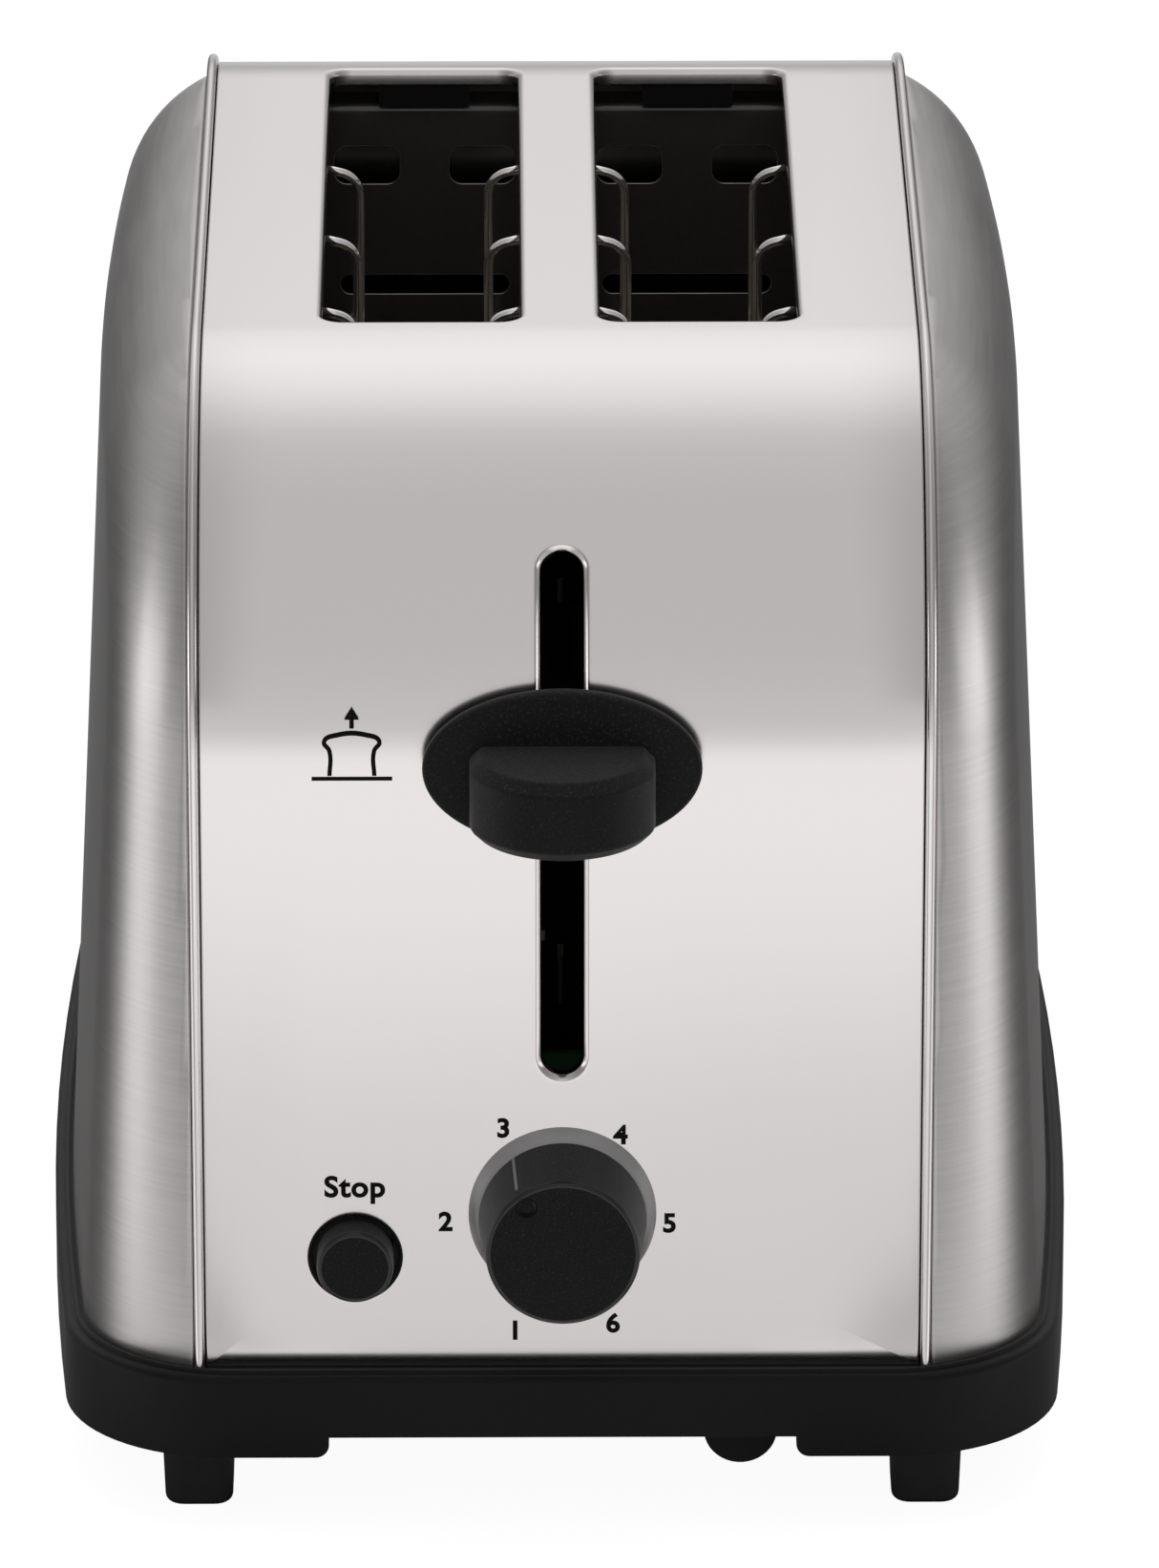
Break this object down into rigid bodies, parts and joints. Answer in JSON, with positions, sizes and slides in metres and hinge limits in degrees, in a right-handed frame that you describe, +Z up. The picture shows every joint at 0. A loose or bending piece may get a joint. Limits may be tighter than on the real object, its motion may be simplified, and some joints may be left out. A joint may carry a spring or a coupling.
{
  "type": "pop-up toaster",
  "caption": "Pop-up toaster: polished arched steel body with brushed side panels, long bread slots, end lever, browning dial, stop button and slide-out crumb tray on a black base.",
  "frame": {"origin": "on the worktop, under the middle of the whole box", "axes": "+Z up, -Y towards the lever end, +X to the right of a user facing the lever"},
  "size_m": [0.1934, 0.2986, 0.2136],
  "materials": {
    "black_plastic": "fine-grained matt black moulding",
    "control_plastic": "soft-touch black, faintly speckled",
    "foot_rubber": "matt black rubber",
    "polished_steel": "mirror-polished stainless steel",
    "brushed_steel": "stainless steel brushed lengthwise",
    "chassis_steel": "heat-darkened black steel sheet",
    "plated_steel": "zinc-plated steel",
    "guide_wire": "bright drawn wire",
    "rod_steel": "ground steel",
    "mica": "pressed mica sheet",
    "ribbon_alloy": "oxidised resistance ribbon",
    "slider_plastic": "natural nylon",
    "core_iron": "stacked iron laminations",
    "coil_copper": "enamelled copper winding",
    "board_laminate": "green circuit laminate",
    "component_plastic": "moulded component bodies",
    "collar_metal": "satin grey metal"
  },
  "bodies": {
    "housing": {"base_moulding": "black_plastic", "feet": "foot_rubber", "polished_band": "polished_steel", "side_panel_left": "brushed_steel", "side_panel_right": "brushed_steel", "front_chassis_plate": "chassis_steel", "rear_chassis_plate": "chassis_steel", "reflector_left": "chassis_steel", "reflector_right": "chassis_steel", "chassis_screws": "plated_steel", "heating_card_left": "mica", "heating_card_centre": "mica", "heating_card_right": "mica", "heating_ribbon_left": "ribbon_alloy", "heating_ribbons_centre": "ribbon_alloy", "heating_ribbon_right": "ribbon_alloy", "bread_guide_left_outer": "guide_wire", "bread_guide_left_inner": "guide_wire", "bread_guide_right_inner": "guide_wire", "bread_guide_right_outer": "guide_wire", "guide_rod": "rod_steel", "rod_bracket": "plated_steel", "return_spring": "rod_steel", "magnet_core": "core_iron", "magnet_coil": "coil_copper", "control_board": "board_laminate", "dial_body": "slider_plastic", "stop_switch": "slider_plastic", "board_components": "component_plastic", "inlet_bush": "black_plastic", "terminal_block": "slider_plastic"},
    "carriage": {"carriage_bracket": "plated_steel", "carriage_slider": "slider_plastic", "armature": "core_iron", "bread_rack_left": "plated_steel", "bread_rack_right": "plated_steel", "lever_arm": "plated_steel", "lever_handle": "control_plastic"},
    "knob": {"browning_knob": "control_plastic", "knob_collar": "collar_metal", "dial_shaft": "rod_steel"},
    "stop": {"stop_button": "control_plastic"},
    "tray": {"crumb_tray": "plated_steel", "crumb_tray_handle": "black_plastic"}
  },
  "joints": [
    {"name": "carriage_slide", "type": "slide", "parent": "housing", "child": "carriage", "axis": [0, 0, 1], "range_m": [-0.052, 0.026], "stiffness_N_per_m": 220, "springref_m": 0.0065, "deforming": ["return_spring"]},
    {"name": "browning_turn", "type": "hinge", "parent": "housing", "child": "knob", "pos_m": [0, -0.1334, 0.062], "axis": [0, 1, 0], "range_deg": [-123, 187]},
    {"name": "stop_push", "type": "slide", "parent": "housing", "child": "stop", "axis": [0, 1, 0], "range_m": [0, 0.003], "stiffness_N_per_m": 400, "springref_m": -0.002},
    {"name": "crumb_tray_slide", "type": "slide", "parent": "housing", "child": "tray", "axis": [0, 1, 0], "range_m": [0, 0.212]}
  ]
}
